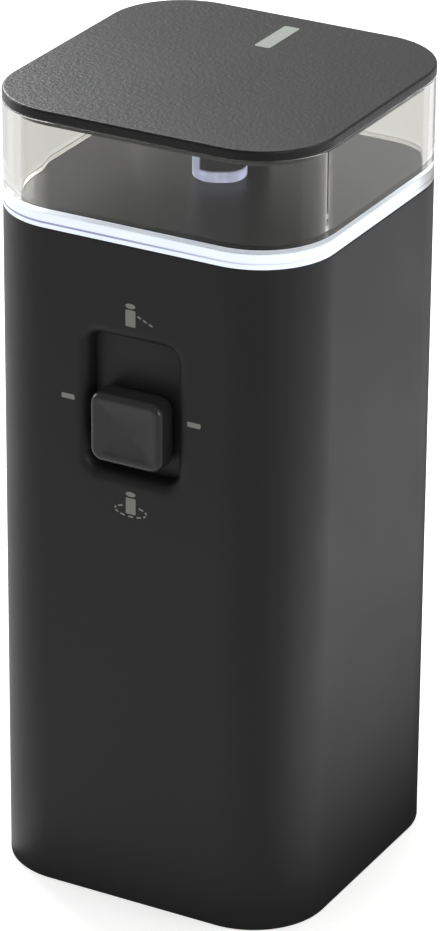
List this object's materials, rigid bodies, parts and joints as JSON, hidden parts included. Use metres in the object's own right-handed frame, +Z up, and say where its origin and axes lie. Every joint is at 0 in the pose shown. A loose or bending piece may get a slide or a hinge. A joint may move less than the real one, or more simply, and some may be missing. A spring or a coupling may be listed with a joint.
{
  "type": "robot vacuum virtual wall",
  "caption": "Square battery tower with a clear lens head, a glowing ring and a mode slider, which marks off floor for a robot vacuum.",
  "frame": {"origin": "middle of the base plate's bottom face, level with the tower's lower rim", "axes": "+Z up along the tower, +X to the right seen from the front, -Y towards the front with the mode slider, +Y the way the beam leaves"},
  "size_m": [0.04, 0.0414, 0.0947],
  "materials": {
    "black_shell": "fine satin moulded texture, black",
    "white_light": "white translucent plastic, lit from inside",
    "clear_plastic": "clear polished plastic",
    "black_deck": "dark satin sheet",
    "grey_cap": "dark grey, finely textured satin",
    "light_print": "light grey print",
    "grey_print": "mid grey print",
    "pale_column": "clear plastic with a bluish white cast",
    "smoked_plastic": "smoked infrared-passing plastic",
    "bright_metal": "bright vacuum-coated reflector",
    "black_knob": "polished black plastic",
    "dark_plastic": "plain moulded black plastic",
    "switch_metal": "tinned steel",
    "switch_lever": "ivory plastic",
    "screw_steel": "zinc-plated steel",
    "contact_nickel": "nickel-plated sheet and wire",
    "carrier_plastic": "plain dark moulded plastic",
    "cell_jacket": "plain dark jacket over steel",
    "green_board": "green solder mask",
    "white_board": "white solder mask",
    "black_parts": "moulded black component bodies",
    "capacitor_sleeve": "dark blue sleeve",
    "ferrite": "dark ferrite",
    "crystal_can": "drawn metal can",
    "lamp_phosphor": "pale yellow phosphor in white bodies"
  },
  "bodies": {
    "tower": {"body_shell": "black_shell", "light_ring": "white_light", "clear_lens": "clear_plastic", "deck": "black_deck", "top_cap": "grey_cap", "direction_mark": "light_print", "halo_lens": "pale_column", "halo_emitter": "smoked_plastic", "halo_reflector": "bright_metal", "beam_emitter": "smoked_plastic", "beam_holder": "dark_plastic", "slider_rails": "dark_plastic", "mode_switch": "switch_metal", "off_marks": "grey_print", "beam_sign": "grey_print", "halo_sign": "grey_print", "base_plate": "dark_plastic", "base_screws": "screw_steel", "battery_carrier": "carrier_plastic", "cell_left": "cell_jacket", "cell_right": "cell_jacket", "battery_spring": "contact_nickel", "spring_plate": "contact_nickel", "button_contact": "contact_nickel", "main_board": "green_board", "board_screws": "screw_steel", "controller_chip": "black_parts", "capacitor": "capacitor_sleeve", "inductor": "ferrite", "crystal": "crystal_can", "resistors": "black_parts", "board_header": "black_parts", "ring_board": "white_board", "ring_lamps": "lamp_phosphor", "ring_screws": "screw_steel"},
    "mode": {"mode_slider": "black_knob", "switch_lever": "switch_lever"},
    "door": {"battery_door": "dark_plastic", "bridge_contact": "contact_nickel"}
  },
  "joints": [
    {"name": "mode_slide", "type": "slide", "parent": "tower", "child": "mode", "axis": [0, 0, 1], "range_m": [0, 0.0045]},
    {"name": "battery_door_hinge", "type": "hinge", "parent": "tower", "child": "door", "pos_m": [0, 0.00105, 0.0003], "axis": [-1, 0, 0], "range_deg": [0, 75]}
  ]
}
